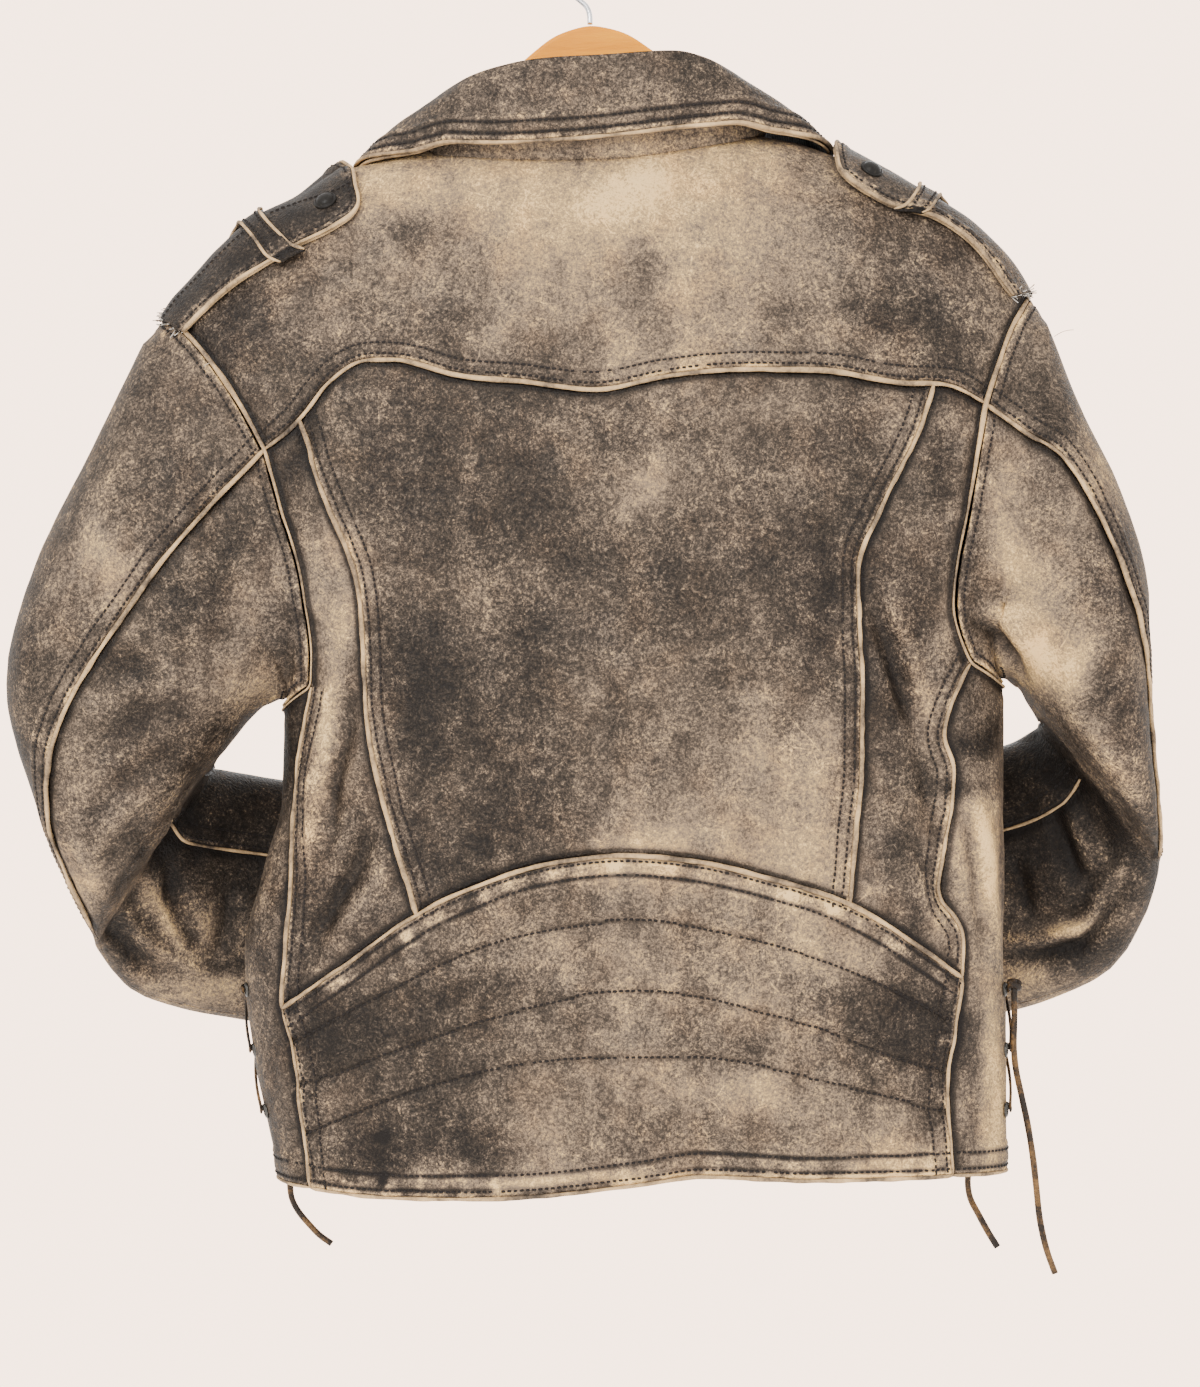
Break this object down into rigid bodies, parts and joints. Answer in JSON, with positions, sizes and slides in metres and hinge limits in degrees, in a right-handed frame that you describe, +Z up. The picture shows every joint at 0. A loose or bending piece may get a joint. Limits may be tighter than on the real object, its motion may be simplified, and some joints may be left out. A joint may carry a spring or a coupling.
{
  "type": "worn leather jacket on a wooden hanger",
  "caption": "Short leather jacket with yoke, arched waist panel, shoulder straps, folded sleeves and side lacing, hung on a wooden hanger.",
  "frame": {"origin": "inside top of the hanger's hook, where a rail or wall hook holds it", "axes": "+Z up, the wearer faces +Y, +X is the wearer's right"},
  "size_m": [0.6986, 0.2076, 0.8038],
  "materials": {
    "lace_leather": "dry, dark brown thong",
    "hanger_wood": "clear satin lacquer",
    "hook_steel": "bright plated wire",
    "dark_metal": "blackened, worn",
    "trim_leather": "rubbed and crackled",
    "shell_leather": "distressed, mottled grey-brown"
  },
  "bodies": {
    "jacket": {"back_centre": "shell_leather", "back_side_left": "shell_leather", "back_side_right": "shell_leather", "back_yoke": "shell_leather", "collar_leaf": "trim_leather", "collar_stand": "trim_leather", "epaulette_left": "trim_leather", "epaulette_right": "trim_leather", "eyelet_left_back_1": "dark_metal", "eyelet_left_back_2": "dark_metal", "eyelet_left_back_3": "dark_metal", "eyelet_left_front_1": "dark_metal", "eyelet_left_front_2": "dark_metal", "eyelet_left_front_3": "dark_metal", "eyelet_right_back_1": "dark_metal", "eyelet_right_back_2": "dark_metal", "eyelet_right_back_3": "dark_metal", "eyelet_right_front_1": "dark_metal", "eyelet_right_front_2": "dark_metal", "eyelet_right_front_3": "dark_metal", "front_left": "shell_leather", "front_right": "shell_leather", "hanger_hook": "hook_steel", "hanger_wood": "hanger_wood", "keeper_left": "shell_leather", "keeper_right": "shell_leather", "lace_end_left": "lace_leather", "lace_end_right": "lace_leather", "lace_knot": "lace_leather", "lace_long_right": "lace_leather", "lacing_left": "lace_leather", "lacing_right": "lace_leather", "side_panel_left": "shell_leather", "side_panel_right": "shell_leather", "snap_left": "dark_metal", "snap_right": "dark_metal", "top_sleeve_left": "shell_leather", "top_sleeve_right": "shell_leather", "under_sleeve_left": "shell_leather", "under_sleeve_right": "shell_leather", "waist_panel_back": "shell_leather", "zip_bridge": "dark_metal", "zip_slider": "dark_metal", "zip_strip": "dark_metal"},
    "pull_tab": {"zip_pull": "dark_metal"}
  },
  "joints": [
    {"name": "zip_pull_swing", "type": "hinge", "parent": "jacket", "child": "pull_tab", "pos_m": [0.00613, 0.06694, -0.232], "axis": [1, 0, 0], "range_deg": [0, 160]}
  ]
}
